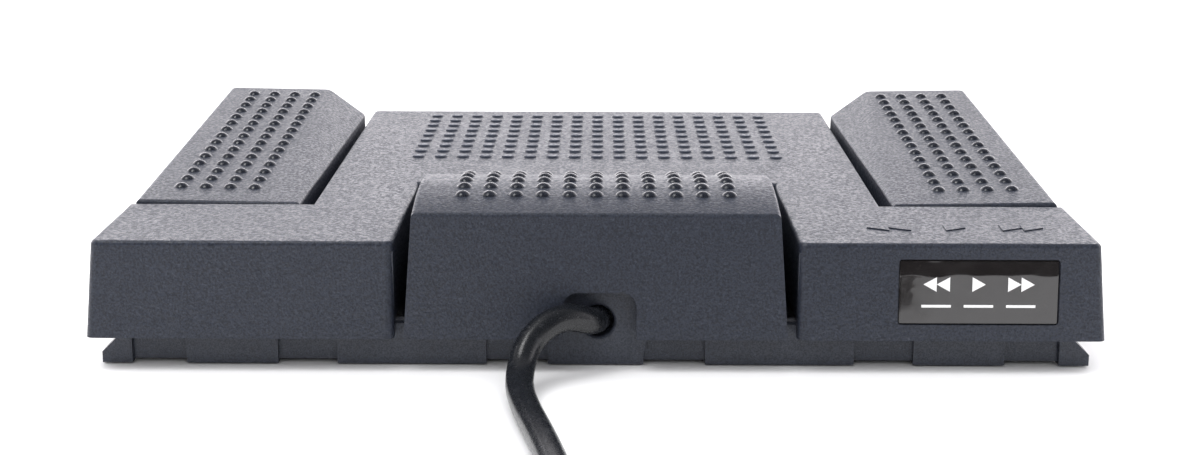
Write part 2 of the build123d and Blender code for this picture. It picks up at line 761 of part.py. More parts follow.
# ---- clamp that holds the lead's sheath ------------------------------------------------------
clamp_top = 14.4
clamp_low = lead_z + 0.3
screw_hole = 1.5
with BuildPart() as lead_clamp:
    with BuildSketch(Plane.XY.offset(clamp_low)):
        with Locations((lead_x, clamp_y)):
            Rectangle(*clamp_size)
    extrude(amount=clamp_top - clamp_low)
    fillet(lead_clamp.edges().filter_by(Axis.Z), 1.2)
    with BuildSketch(Plane.XZ.offset(-lead_start)):
        with Locations((lead_x, lead_z)):
            Circle(lead_diameter / 2)
    extrude(amount=lead_start - sheath_end, mode=Mode.SUBTRACT)
    with BuildSketch(Plane.XY.offset(clamp_low)):
        with Locations(*[(lead_x + side * clamp_screws_x, clamp_y) for side in sides.values()]):
            Circle(screw_hole)
    extrude(amount=clamp_top - clamp_low, mode=Mode.SUBTRACT)
finish(lead_clamp, "lead_clamp")

with BuildPart() as lead_inner:
    with BuildSketch(Plane.XZ.offset(-lead_start)):
        with Locations((lead_x, lead_z)):
            Circle(lead_diameter / 2)
    extrude(amount=lead_start - sheath_end)
finish(lead_inner, "lead_inner")

# ---- ballast plate and screws -----------------------------------------------------------------
ballast_thickness = 2.0
ballast_size = (176.0, 37.0)
ballast_rear = 26.5
with BuildPart() as ballast_plate:
    with BuildSketch(Plane.XY.offset(floor_top)):
        with Locations((0, ballast_rear + ballast_size[1] / 2)):
            RectangleRounded(*ballast_size, 3.0)
        with Locations(*ballast_screws_at):
            Circle(screw_hole, mode=Mode.SUBTRACT)
    extrude(amount=ballast_thickness)
finish(ballast_plate, "ballast_plate")

screw_head = (2.4, 1.5)
screw_shank = 1.2


def make_screws(name, places, seat, tip):
    """Pan-head screws, all alike, with a cross recess in the head."""
    with BuildPart() as screws:
        with BuildSketch(Plane.XY.offset(seat)):
            with Locations(*places):
                Circle(screw_head[0])
        extrude(amount=screw_head[1])
        fillet(screws.edges().group_by(Axis.Z)[-1], 0.6)
        with BuildSketch(Plane.XY.offset(seat + screw_head[1])):
            with Locations(*places):
                Rectangle(2.6, 0.6)
                Rectangle(0.6, 2.6)
        extrude(amount=-0.8, mode=Mode.SUBTRACT)
        with BuildSketch(Plane.XY.offset(tip)):
            with Locations(*places):
                Circle(screw_shank)
        extrude(amount=seat - tip)
    finish(screws, name)


clamp_screws_at = [(lead_x + side * clamp_screws_x, clamp_y) for side in sides.values()]
make_screws("board_screws", board_screws_at, board_top, board_bottom - 1.5)
make_screws("ballast_screws", ballast_screws_at, floor_top + ballast_thickness, floor_top - 1.5)
make_screws("clamp_screws", clamp_screws_at, clamp_top, lead_z - 5.6)

underside_label_thickness = 0.15
with BuildPart() as underside_label:
    with BuildSketch(Plane.XY.offset(floor_under - underside_label_thickness)):
        with Locations((0, 10)):
            RectangleRounded(62, 30, 1.5)
    extrude(amount=underside_label_thickness)
finish(underside_label, "underside_label")

# ---- lead: the length in view, the put-away coil, the tail and the plug -------------------
on_floor = lead_diameter / 2
coil_radii = [23.6, 29.2, 34.8, 40.4]
coil_layers = 2
coil_low = 0.8  # the coil lies on its tie
coil_middle = (38.8, -203.0)
lead_route = [
    (lead_x, lead_start, lead_z),
    (lead_x, -75.8, lead_z),
    (-7.2, -80.0, 12.6),
    (-13.4, -85.2, 8.8),
    (-15.2, -92.2, 3.4),
    (-13.8, -104.2, on_floor),
    (-9.4, -124.0, on_floor),
    (-5.6, -145.0, on_floor),
    (-2.8, -166.0, on_floor),
    (coil_middle[0] - coil_radii[-1], -185.0, coil_low + on_floor),
]
plug_start = 57.0
plug_y = -260.8
plug_radius = 7.0
tail_route = [
    (coil_middle[0] - coil_radii[-1], -206.0, coil_low + 3 * on_floor),
    (-1.8, -222.0, 8.2),
    (2.0, -238.5, 4.0),
    (12.0, -251.5, on_floor),
    (27.0, -258.5, 3.4),
    (43.0, -260.6, 5.4),
    (plug_start, plug_y, plug_radius),
]


def arc_radii(route):
    """Radius for each corner: 0.45 of its shorter run over the tangent of half its turn."""
    points = [Vector(*point) for point in route]
    radii = []
    for before, corner, after in zip(points, points[1:], points[2:]):
        arriving = corner - before
        leaving = after - corner
        half_turn = math.radians(arriving.get_angle(leaving)) / 2
        shorter = min(arriving.length, leaving.length)
        radii.append(0.45 * shorter / math.tan(half_turn))
    return radii


def make_tube(name, route):
    """Round lead along straight runs joined by tangent arcs."""
    radii = arc_radii(route)
    with BuildPart() as tube:
        with BuildLine() as path:
            FilletPolyline(*route, radius=radii)
        with BuildSketch(Plane(origin=path.line @ 0, z_dir=path.line % 0)):
            Circle(lead_diameter / 2)
        sweep(path=path.line)
    finish(tube, name)
    length = sum(edge.length for edge in path.edges())
    share = tube.part.volume / (math.pi * (lead_diameter / 2) ** 2 * length)
    print(name, "radii", [round(radius, 1) for radius in radii])
    print(name, "length", round(length, 1), "volume over section times length", round(share, 4))
    return length


lead_length = make_tube("lead", lead_route)
tail_length = make_tube("lead_tail", tail_route)
coil_length = coil_layers * 2 * math.pi * sum(coil_radii)
print("whole lead about", round(lead_length + tail_length + coil_length), "mm")

with BuildPart() as lead_coil:
    with BuildSketch(Plane.XY.offset(coil_low)):
        with Locations(coil_middle):
            Circle(coil_radii[-1] + on_floor)
            Circle(coil_radii[0] - on_floor, mode=Mode.SUBTRACT)
    extrude(amount=coil_layers * lead_diameter)
finish(lead_coil, "lead_coil")

tie_width = 10.0
tie_thickness = 0.8
tie_slack = 1.8
bundle_width = coil_radii[-1] - coil_radii[0] + lead_diameter
bundle_middle = coil_middle[0] + (coil_radii[-1] + coil_radii[0]) / 2
with BuildPart() as coil_tie:
    with BuildSketch(Plane.XZ.offset(-coil_middle[1] - tie_width / 2)):
        with Locations((bundle_middle, coil_low + coil_layers * on_floor)):
            RectangleRounded(
                bundle_width + 2 * tie_thickness + tie_slack,
                coil_layers * lead_diameter + 2 * tie_thickness,
                1.6,
            )
            RectangleRounded(
                bundle_width + tie_slack, coil_layers * lead_diameter, 0.9, mode=Mode.SUBTRACT
            )
    extrude(amount=tie_width)
finish(coil_tie, "coil_tie")

relief_length = 11.0
grip_length = 17.0
shell_length = 10.0
shell_radius = 6.5
shell_seat = 4.0  # how deep the metal shell is set in the grip
grip_rings = 4
plug_axis = Plane((plug_start, plug_y, plug_radius), x_dir=(0, 1, 0), z_dir=(1, 0, 0))
with BuildPart() as plug_grip:
    with BuildSketch(plug_axis):
        Circle(lead_diameter / 2 + 0.7)
    with BuildSketch(plug_axis.offset(relief_length)):
        Circle(plug_radius - 2.2)
    loft()
    with BuildSketch(plug_axis.offset(relief_length)):
        Circle(plug_radius)
    extrude(amount=grip_length)
    fillet(plug_grip.edges().filter_by(GeomType.CIRCLE).filter_by(
        lambda e: e.radius > plug_radius - 0.01), 1.0)
    for step in range(grip_rings):
        with BuildSketch(plug_axis.offset(relief_length + 4.0 + 2.2 * step)):
            Circle(plug_radius + 1)
            Circle(plug_radius - 0.5, mode=Mode.SUBTRACT)
        extrude(amount=1.0, mode=Mode.SUBTRACT)
    with BuildSketch(plug_axis.offset(relief_length + grip_length)):
        Circle(shell_radius)
        Circle(shell_radius - 1.2, mode=Mode.SUBTRACT)
    extrude(amount=-shell_seat, mode=Mode.SUBTRACT)
finish(plug_grip, "plug_grip")

with BuildPart() as plug_shell:
    with BuildSketch(plug_axis.offset(relief_length + grip_length - shell_seat + 0.1)):
        Circle(shell_radius - 0.05)
        Circle(shell_radius - 0.7, mode=Mode.SUBTRACT)
    extrude(amount=shell_length + shell_seat - 0.1)
    with BuildSketch(plug_axis.offset(relief_length + grip_length + 3.0)):
        with Locations((0, shell_radius)):
            Rectangle(2.4, 3.0)
    extrude(amount=shell_length, mode=Mode.SUBTRACT)
finish(plug_shell, "plug_shell")

pin_ring = 3.5
pin_radius = 0.72
with BuildPart() as plug_pins:
    with BuildSketch(plug_axis.offset(relief_length + grip_length)):
        with PolarLocations(pin_ring, 5, start_angle=-180, angular_range=180, endpoint=True):
            Circle(pin_radius)
    extrude(amount=shell_length - 1.5)
    fillet(plug_pins.edges().group_by(Axis.X)[-1], 0.4)
finish(plug_pins, "plug_pins")
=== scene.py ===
"""Looks of the transcription foot switch: camera, lead, label, mouldings, materials and light."""
import json
import math

import bpy
from mathutils import Matrix, Vector, noise


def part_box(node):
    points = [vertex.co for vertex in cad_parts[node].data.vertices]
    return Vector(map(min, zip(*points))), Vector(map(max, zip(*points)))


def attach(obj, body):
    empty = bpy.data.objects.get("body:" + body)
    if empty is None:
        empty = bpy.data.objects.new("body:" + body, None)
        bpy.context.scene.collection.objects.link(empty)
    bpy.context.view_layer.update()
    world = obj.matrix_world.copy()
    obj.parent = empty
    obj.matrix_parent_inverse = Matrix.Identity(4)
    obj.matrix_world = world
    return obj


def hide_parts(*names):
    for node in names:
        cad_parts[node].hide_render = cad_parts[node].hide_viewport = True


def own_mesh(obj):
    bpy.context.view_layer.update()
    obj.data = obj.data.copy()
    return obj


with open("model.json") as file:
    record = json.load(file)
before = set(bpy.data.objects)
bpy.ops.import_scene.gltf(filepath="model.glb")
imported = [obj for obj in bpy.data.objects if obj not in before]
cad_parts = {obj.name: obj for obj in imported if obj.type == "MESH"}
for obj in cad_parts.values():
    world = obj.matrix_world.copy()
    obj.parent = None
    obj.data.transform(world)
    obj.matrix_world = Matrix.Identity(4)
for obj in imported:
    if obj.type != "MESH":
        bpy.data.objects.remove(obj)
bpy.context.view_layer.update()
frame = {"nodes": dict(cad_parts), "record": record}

MM = 0.001
nodes = frame["nodes"]
slot_of = {part["node"]: part["material_slot"] for part in frame["record"]["subparts"]}


# ---- camera -----------------------------------------------------------------------------------
def make_camera():
    """A long lens on the lead's side, a little above the switch, level but for a slight roll."""
    data = bpy.data.cameras.new("camera")
    data.sensor_width = 36.0
    data.lens = 57.0
    data.clip_start = 0.02
    data.clip_end = 50.0
    camera = bpy.data.objects.new("camera", data)
    bpy.context.scene.collection.objects.link(camera)
    look_down = math.radians(13.64)
    yaw = math.radians(0.035)
    roll = math.radians(0.205)
    camera.matrix_world = (
        Matrix.Translation(Vector((1.04, -447.98, 120.61)) * MM)
        @ Matrix.Rotation(yaw, 4, "Z")
        @ Matrix.Rotation(math.pi / 2 - look_down, 4, "X")
        @ Matrix.Rotation(roll, 4, "Z")
    )
    bpy.context.scene.camera = camera


make_camera()

# ---- the lead -----------------------------------------------------------------------------------
LEAD_DIAMETER = 5.6
ON_FLOOR = LEAD_DIAMETER / 2
COIL_RADII = (23.6, 29.2, 34.8, 40.4)
COIL_LOW = 0.8
COIL_MIDDLE = (38.8, -203.0)
LEAD_ROUTE = [
    (0.5, -68.0, 9.6),
    (0.7, -75.4, 10.0),
    (-6.8, -80.2, 13.4),
    (-13.4, -85.4, 9.6),
    (-15.2, -92.2, 3.6),
    (-13.8, -104.2, ON_FLOOR),
    (-9.4, -124.0, ON_FLOOR),
    (-5.6, -145.0, ON_FLOOR),
    (-2.8, -166.0, ON_FLOOR),
    (-1.6, -185.0, COIL_LOW + ON_FLOOR),
]
TAIL_ROUTE = [
    (-1.8, -222.0, 8.2),
    (2.0, -238.5, 4.0),
    (12.0, -251.5, ON_FLOOR),
    (27.0, -258.5, 3.4),
    (43.0, -260.6, 5.4),
    (57.0, -260.8, 7.0),
]
POINTS_A_TURN = 24
CROSSING = 0.22  # share of a turn in which the lead moves over to the next turn


def smooth(x):
    """0 below 0, 1 above 1, and an even curve between them."""
    x = min(max(x, 0.0), 1.0)
    return x * x * (3 - 2 * x)


def coil_points():
    """Two layers of turns, wound inwards on the floor and then outwards on top of them."""
    tracks = list(reversed(COIL_RADII)) + list(COIL_RADII)
    layer = len(COIL_RADII)
    heights = [COIL_LOW + ON_FLOOR] * layer + [COIL_LOW + 3 * ON_FLOOR] * layer
    points = []
    for step in range(len(tracks) * POINTS_A_TURN + 1):
        turn = step / POINTS_A_TURN
        now = min(int(turn), len(tracks) - 1)
        after = min(now + 1, len(tracks) - 1)
        over = smooth((turn - now - 1 + CROSSING) / CROSSING)
        radius = tracks[now] + (tracks[after] - tracks[now]) * over
        height = heights[now] + (heights[after] - heights[now]) * over
        angle = math.pi + 2 * math.pi * turn
        x = COIL_MIDDLE[0] + radius * math.cos(angle)
        y = COIL_MIDDLE[1] + radius * math.sin(angle)
        points.append((x, y, height))
    return points


def make_lead():
    """One smooth flex from inside the housing, through the put-away coil, to the plug."""
    points = LEAD_ROUTE + coil_points() + TAIL_ROUTE
    curve = bpy.data.curves.new("lead_flex", "CURVE")
    curve.dimensions = "3D"
    spline = curve.splines.new("NURBS")
    spline.points.add(len(points) - 1)
    for target, point in zip(spline.points, points):
        target.co = (*(Vector(point) * MM), 1.0)
        target.radius = ON_FLOOR * MM
    spline.order_u = 3
    spline.use_endpoint_u = True
    spline.resolution_u = 10
    curve.bevel_depth = 1.0  # times each point's radius
    curve.bevel_resolution = 8
    curve.use_fill_caps = True
    flex = bpy.data.objects.new("lead_flex", curve)
    bpy.context.scene.collection.objects.link(flex)
    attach(flex, "base")
    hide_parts("lead", "lead_coil", "lead_tail")
    return flex


lead_flex = make_lead()


# ---- procedural materials -----------------------------------------------------------------------
class Finish:
    """One material's node tree, with short calls for the nodes that the finishes share."""

    def __init__(self, name, **sockets):
        self.material = bpy.data.materials.new(name)
        self.material.use_nodes = True
        self.tree = self.material.node_tree
        self.shader = self.tree.nodes["Principled BSDF"]
        for socket, value in sockets.items():
            self.set(self.shader, socket.replace("_", " "), value)
        self.at = self.node("ShaderNodeTexCoord").outputs["Object"]

    def set(self, node, socket, value):
        """Links a socket to an output, or gives it a plain value."""
        target = node.inputs[socket]
        if isinstance(value, bpy.types.NodeSocket):
            self.tree.links.new(value, target)
        else:
            target.default_value = value

    def node(self, kind, sockets=(), **settings):
        made = self.tree.nodes.new(kind)
        for setting, value in settings.items():
            setattr(made, setting, value)
        for socket, value in dict(sockets).items():
            self.set(made, socket, value)
        return made

    def noise(self, size, detail=2.0, roughness=0.5, at=None):
        """Noise from 0 to 1 with features of that size in millimetres."""
        made = self.node(
            "ShaderNodeTexNoise",
            {"Vector": at or self.at, "Scale": 1 / (size * MM), "Detail": detail, "Roughness": roughness},
        )
        return made.outputs["Fac"]

    def cells(self, size, feature="F1"):
        """Distance inside rounded cells of that size in millimetres."""
        made = self.node(
            "ShaderNodeTexVoronoi", {"Vector": self.at, "Scale": 1 / (size * MM)}, feature=feature
        )
        return made.outputs["Distance"]

    def ramp(self, value, low, high, start=0.0, end=1.0):
        """value from low to high becomes start to end, and holds outside that."""
        made = self.node(
            "ShaderNodeMapRange",
            {"Value": value, "From Min": low, "From Max": high, "To Min": start, "To Max": end},
            interpolation_type="SMOOTHSTEP",
        )
        return made.outputs["Result"]

    def maths(self, operation, first, second=0.0):
        made = self.node("ShaderNodeMath", {0: first, 1: second}, operation=operation)
        return made.outputs["Value"]

    def mix(self, share, first, second):
        made = self.node("ShaderNodeMix", {"Factor": share}, data_type="RGBA")
        for socket, value in (("A", first), ("B", second)):
            target = [s for s in made.inputs if s.name == socket and s.type == "RGBA"][0]
            if isinstance(value, bpy.types.NodeSocket):
                self.tree.links.new(value, target)
            else:
                target.default_value = (*value, 1.0)
        return [s for s in made.outputs if s.type == "RGBA"][0]

    def axis(self, name):
        """The X, Y or Z coordinate in metres, in the switch's own frame."""
        return self.node("ShaderNodeSeparateXYZ", {"Vector": self.at}).outputs[name]

    def above(self, point, normal):
        """Height in metres above a plane through that point, in millimetres."""
        offset = self.node(
            "ShaderNodeVectorMath", {0: self.at, 1: tuple(Vector(point) * MM)}, operation="SUBTRACT"
        )
        made = self.node(
            "ShaderNodeVectorMath",
            {0: offset.outputs["Vector"], 1: tuple(Vector(normal).normalized())},
            operation="DOT_PRODUCT",
        )
        return made.outputs["Value"]

    def bump(self, height, depth, under=None):
        """Relief of that depth in millimetres, on top of another relief."""
        sockets = {"Height": height, "Distance": depth * MM, "Strength": 1.0}
        if under is not None:
            sockets["Normal"] = under
        return self.node("ShaderNodeBump", sockets).outputs["Normal"]

    def wear(self, colour, normal=None, roughness=None):
        """Joins the finished colour, relief and roughness to the shader."""
        self.set(self.shader, "Base Color", colour)
        if normal is not None:
            self.set(self.shader, "Normal", normal)
        if roughness is not None:
            self.set(self.shader, "Roughness", roughness)
        return self.material


# treads, as the CAD source places them
COVER_TOP = 27.0
WING_INNER = 65.3
WING_REAR = -40.4
WING_PITCH = math.tan(math.radians(3.25))
WING_ROLL = math.tan(math.radians(0.9))
CROWN_MIDDLE = (-56.4, -31.5)  # y and z of the axis of the top pedal's crown
CROWN_RADIUS = 67.0


def plate_height(finish):
    return finish.above((0, 0, COVER_TOP), (0, 0, 1))


def wing_height(side):
    def height(finish):
        return finish.above(
            (side * WING_INNER, WING_REAR, COVER_TOP), (-side * WING_ROLL, -WING_PITCH, 1)
        )

    return height


def crown_height(finish):
    """Height above the crowned top of the rear pedal."""
    y, z = CROWN_MIDDLE
    offset = finish.node(
        "ShaderNodeVectorMath", {0: finish.at, 1: (0, y * MM, z * MM)}, operation="SUBTRACT"
    )
    flat = finish.node(
        "ShaderNodeVectorMath", {0: offset.outputs["Vector"], 1: (0, 1, 1)}, operation="MULTIPLY"
    )
    reach = finish.node("ShaderNodeVectorMath", {0: flat.outputs["Vector"]}, operation="LENGTH")
    return finish.maths("SUBTRACT", reach.outputs["Value"], CROWN_RADIUS * MM)


def moulded(name, colour, height=None, grain=0.7, depth=0.13, polished=0.22, painted_nub_light=0.5):
    """Slate ABS with a spark-eroded grain; nubs on a tread lose most of it, may be polished, and have light
    and shade painted into their colour.
    """
    finish = Finish(name, IOR=1.5)
    pits = finish.noise(grain, 3.0, 0.62)
    speckle = finish.noise(grain * 0.6, 1.0)
    crystals = finish.cells(grain * 0.9)
    drift = finish.noise(38.0, 2.0)
    smudge = finish.noise(7.0, 3.0, 0.6)
    fleck = finish.ramp(finish.noise(grain * 0.8, 1.0), 0.60, 0.74)
    light = [2.2 * c + 0.012 for c in colour]
    dark = [0.6 * c for c in colour]
    shade = finish.mix(finish.ramp(speckle, 0.35, 0.60), dark, [1.15 * c for c in colour])
    shade = finish.mix(finish.maths("MULTIPLY", fleck, 0.4), shade, light)
    shade = finish.mix(finish.ramp(drift, 0.3, 0.75, 0.0, 0.10), shade, [1.25 * c for c in colour])
    roughness = finish.ramp(pits, 0.35, 0.65, 0.36, 0.60)
    roughness = finish.maths("ADD", roughness, finish.ramp(smudge, 0.35, 0.7, -0.012, 0.012))
    relief = finish.maths("ADD", pits, finish.maths("MULTIPLY", crystals, 0.35))
    if height is not None:
        nub = finish.ramp(height(finish), 0.01 * MM, 0.08 * MM)
        plain = finish.maths("SUBTRACT", 1.0, finish.maths("MULTIPLY", nub, 0.9))
        relief = finish.maths("MULTIPLY", relief, plain)
        polish = finish.maths("MULTIPLY", nub, -polished)
        roughness = finish.maths("ADD", roughness, polish)
        # Painted light: the nubs take the tread's colour times a factor, below 1 as painted shade and above 1
        # as painted light.
        shade = finish.mix(nub, shade, [painted_nub_light * c for c in colour])
    return finish.wear(shade, finish.bump(relief, depth), roughness)


def plain_moulded(name, colour, roughness, grain, depth, spread=0.2, **sockets):
    """Plastic or rubber with a fine even grain and a slow drift of shade."""
    finish = Finish(name, **sockets)
    fine = finish.noise(grain, 3.0, 0.6)
    drift = finish.noise(grain * 22, 2.0)
    shade = finish.mix(fine, [c * (1 - spread) for c in colour], [c * (1 + spread) for c in colour])
    shade = finish.mix(finish.ramp(drift, 0.3, 0.7, 0.0, 0.4), shade, [c * 1.35 for c in colour])
    rough = finish.ramp(fine, 0.3, 0.7, roughness - 0.07, roughness + 0.07)
    return finish.wear(shade, finish.bump(fine, depth), rough)


def metal(name, colour, roughness, stretch, tarnish=0.25):
    """Drawn or rolled metal: fine scratches along one axis and slow tarnish."""
    finish = Finish(name, Metallic=1.0)
    mapping = finish.node("ShaderNodeMapping", {"Vector": finish.at, "Scale": stretch})
    lines = finish.noise(0.35, 4.0, 0.65, mapping.outputs["Vector"])
    cloud = finish.noise(5.0, 4.0, 0.6)
    shade = finish.mix(finish.ramp(cloud, 0.35, 0.7, 0.0, tarnish), colour, [0.45 * c for c in colour])
    rough = finish.ramp(lines, 0.3, 0.7, roughness - 0.08, roughness + 0.12)
    return finish.wear(shade, finish.bump(lines, 0.006), rough)


def lead_jacket():
    """Soft black PVC, semi-gloss, with faint die lines, scuffs and dust."""
    finish = Finish("lead_jacket", IOR=1.5)
    fine = finish.noise(0.5, 3.0, 0.6)
    scuff = finish.ramp(finish.noise(2.4, 5.0, 0.7), 0.56, 0.72)
    dust = finish.ramp(finish.noise(0.35, 1.0), 0.70, 0.80)
    shade = finish.mix(scuff, (0.007, 0.008, 0.010), (0.022, 0.024, 0.028))
    shade = finish.mix(finish.maths("MULTIPLY", dust, 0.5), shade, (0.16, 0.16, 0.17))
    gloss = finish.ramp(fine, 0.3, 0.7, 0.22, 0.32)
    rough = finish.maths("ADD", gloss, finish.maths("MULTIPLY", scuff, 0.14))
    relief = finish.maths("ADD", finish.maths("MULTIPLY", fine, 0.15), finish.noise(4.5, 1.0))
    return finish.wear(shade, finish.bump(relief, 0.03), rough)


def label_film():
    """Black-brown printed film under a gloss coat."""
    finish = Finish("label_film", Coat_Weight=1.0, Coat_Roughness=0.04, IOR=1.5)
    cloud = finish.noise(4.0, 3.0, 0.6)
    specks = finish.ramp(finish.noise(0.5, 1.0), 0.72, 0.80)
    shade = finish.mix(cloud, (0.005, 0.004, 0.004), (0.009, 0.007, 0.007))
    shade = finish.mix(finish.maths("MULTIPLY", specks, 0.5), shade, (0.10, 0.08, 0.07))
    rough = finish.ramp(cloud, 0.3, 0.7, 0.10, 0.2)
    return finish.wear(shade, finish.bump(finish.noise(3.0, 2.0), 0.015), rough)


def print_ink():
    finish = Finish("print_ink")
    fine = finish.noise(0.3, 2.0)
    shade = finish.mix(fine, (0.80, 0.80, 0.80), (0.92, 0.92, 0.92))
    return finish.wear(shade, finish.bump(fine, 0.004), finish.ramp(fine, 0.2, 0.8, 0.3, 0.45))


def board_laminate():
    """Green solder resist over tracks, with bare laminate at the cut edges."""
    finish = Finish("board_laminate", Coat_Weight=0.5, Coat_Roughness=0.2)
    bricks = finish.node(
        "ShaderNodeTexBrick",
        {"Vector": finish.at, "Scale": 1.0, "Mortar Size": 0.00035, "Brick Width": 0.0085,
         "Row Height": 0.0024, "Color1": (1, 1, 1, 1), "Color2": (1, 1, 1, 1), "Mortar": (0, 0, 0, 1)},
    )
    tracks = finish.maths("SUBTRACT", 1.0, bricks.outputs["Color"])
    weave = finish.noise(0.6, 2.0)
    shade = finish.mix(weave, (0.012, 0.085, 0.040), (0.018, 0.110, 0.052))
    shade = finish.mix(tracks, shade, (0.045, 0.200, 0.080))
    rough = finish.ramp(weave, 0.3, 0.7, 0.28, 0.42)
    return finish.wear(shade, finish.bump(tracks, 0.035), rough)


def chip_package():
    """Black epoxy body with tinned legs."""
    finish = Finish("chip_package")
    fine = finish.noise(0.12, 2.0)
    legs = finish.ramp(finish.above((0, 0, 6.95), (0, 0, -1)), 0.0, 0.05 * MM)
    shade = finish.mix(fine, (0.012, 0.012, 0.013), (0.030, 0.030, 0.032))
    shade = finish.mix(legs, shade, (0.62, 0.62, 0.60))
    finish.set(finish.shader, "Metallic", legs)
    return finish.wear(shade, finish.bump(fine, 0.01), finish.ramp(fine, 0.2, 0.8, 0.35, 0.55))


def wire_colours():
    """Four insulated conductors side by side, each in its own colour."""
    finish = Finish("wire_colours", IOR=1.46)
    ramp = finish.node("ShaderNodeValToRGB", {"Fac": finish.ramp(finish.axis("X"), -2.6 * MM, 2.6 * MM)})
    ramp.color_ramp.interpolation = "CONSTANT"
    colours = [(0.45, 0.02, 0.02), (0.55, 0.35, 0.02), (0.02, 0.06, 0.30), (0.60, 0.60, 0.58)]
    for index, colour in enumerate(colours):
        stops = ramp.color_ramp.elements
        stop = stops[index] if index < 2 else stops.new(index / 4)
        stop.position = smooth(index / 4)
        stop.color = (*colour, 1)
    fine = finish.noise(0.5, 2.0)
    shade = finish.mix(finish.ramp(fine, 0.4, 0.8, 0.0, 0.2), ramp.outputs["Color"], (0.2, 0.2, 0.2))
    return finish.wear(shade, finish.bump(fine, 0.02), finish.ramp(fine, 0.3, 0.7, 0.35, 0.5))


def foil():
    """Brushed silver foil with a printed frame and two blank fields."""
    finish = Finish("foil", Metallic=0.8)
    mapping = finish.node("ShaderNodeMapping", {"Vector": finish.at, "Scale": (0.05, 1, 1)})
    lines = finish.noise(0.2, 4.0, 0.7, mapping.outputs["Vector"])
    bricks = finish.node(
        "ShaderNodeTexBrick",
        {"Vector": finish.at, "Scale": 1.0, "Mortar Size": 0.0004, "Brick Width": 0.028,
         "Row Height": 0.013, "Color1": (1, 1, 1, 1), "Color2": (1, 1, 1, 1), "Mortar": (0, 0, 0, 1)},
    )
    shade = finish.mix(lines, (0.50, 0.50, 0.51), (0.66, 0.66, 0.68))
    shade = finish.mix(bricks.outputs["Color"], (0.05, 0.05, 0.05), shade)
    return finish.wear(shade, finish.bump(lines, 0.01), finish.ramp(lines, 0.3, 0.7, 0.28, 0.45))


def hook_tape():
    """Woven hook-and-loop tape, charcoal with a lighter selvedge."""
    finish = Finish("hook_tape", Sheen_Weight=0.4, Sheen_Roughness=0.5)
    warp = finish.node(
        "ShaderNodeTexWave", {"Vector": finish.at, "Scale": 0.16 / MM, "Distortion": 1.5}, bands_direction="X"
    ).outputs["Fac"]
    weft = finish.node(
        "ShaderNodeTexWave", {"Vector": finish.at, "Scale": 0.2 / MM, "Distortion": 1.5}, bands_direction="Y"
    ).outputs["Fac"]
    weave = finish.maths("MAXIMUM", warp, weft)
    fuzz = finish.noise(0.25, 3.0, 0.7)
    shade = finish.mix(weave, (0.010, 0.010, 0.011), (0.055, 0.055, 0.060))
    shade = finish.mix(finish.ramp(fuzz, 0.5, 0.75, 0.0, 0.5), shade, (0.13, 0.13, 0.14))
    relief = finish.maths("ADD", weave, fuzz)
    return finish.wear(shade, finish.bump(relief, 0.22), finish.ramp(fuzz, 0.3, 0.7, 0.75, 0.95))


HOUSING = (0.019, 0.023, 0.035)
BASE = (0.031, 0.036, 0.050)

slot_finishes = {
    "base": moulded("base_grain", BASE, grain=0.5, depth=0.03),
    "foil": foil(),
    "foot": plain_moulded("foot_rubber", (0.018, 0.018, 0.018), 0.72, 0.35, 0.03),
    "steel": metal("shaft_steel", (0.60, 0.60, 0.61), 0.24, (0.05, 1, 1)),
    "spring_steel": metal("spring_steel", (0.52, 0.52, 0.54), 0.28, (1, 1, 0.3)),
    "ballast": metal("zinc_plate", (0.55, 0.56, 0.58), 0.38, (0.3, 1, 1), tarnish=0.5),
    "screws": metal("screw_zinc", (0.60, 0.58, 0.50), 0.30, (1, 1, 0.3)),
    "board": board_laminate(),
    "chip": chip_package(),
    "socket": plain_moulded("nylon", (0.62, 0.60, 0.54), 0.45, 0.3, 0.01, 0.05),
    "wires": wire_colours(),
    "switch": plain_moulded("switch_case", (0.030, 0.030, 0.032), 0.42, 0.25, 0.012),
    "plunger": plain_moulded("plunger_red", (0.42, 0.03, 0.02), 0.40, 0.25, 0.008, 0.1),
    "legend": moulded("legend_grain", HOUSING),
    "lead_jacket": lead_jacket(),
    "tie": hook_tape(),
    "plug_grip": plain_moulded("plug_grip_pvc", (0.017, 0.017, 0.018), 0.45, 0.30, 0.03),
    "plug_metal": metal("nickel", (0.66, 0.64, 0.60), 0.16, (0.2, 1, 1), tarnish=0.12),
    "contacts": metal("contact_brass", (0.72, 0.55, 0.25), 0.22, (0.2, 1, 1), tarnish=0.2),
}
tread_finishes = {
    # painted light on the plate's nubs (factor 1.5); painted shade on the wings' and crown's nubs (the
    # default 0.5)
    "centre_pedal": moulded("centre_grain", HOUSING, plate_height, polished=0.0, painted_nub_light=1.5),
    "left_pedal": moulded("left_wing_grain", HOUSING, wing_height(-1)),
    "right_pedal": moulded("right_wing_grain", HOUSING, wing_height(1)),
    "top_pedal": moulded("crown_grain", HOUSING, crown_height),
}


def dress_frame():
    """Gives every CAD node its finish, by its slot or, on a tread, by its own shape."""
    film = label_film()
    for name, piece in nodes.items():
        finish = tread_finishes.get(name) or slot_finishes.get(slot_of[name], film)
        for slot in piece.material_slots:
            slot.material = finish
    lead_flex.data.materials.append(slot_finishes["lead_jacket"])


dress_frame()


# ---- label and raised marks: rippled film with generic transport marks --------------------------
WALL_DRAFT = math.radians(4.5)
LABEL_THICKNESS = 0.35
RIPPLE = 0.05
LEAN = 0.28  # how far its upper edge lies back, pressed against the wall
LEAN_HEIGHT = 3.2


def mesh_piece(name, points, faces, finish, body):
    mesh = bpy.data.meshes.new(name)
    mesh.from_pydata([tuple(point) for point in points], [], faces)
    mesh.update()
    mesh.materials.append(finish)
    piece = bpy.data.objects.new(name, mesh)
    bpy.context.scene.collection.objects.link(piece)
    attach(piece, body)
    return piece


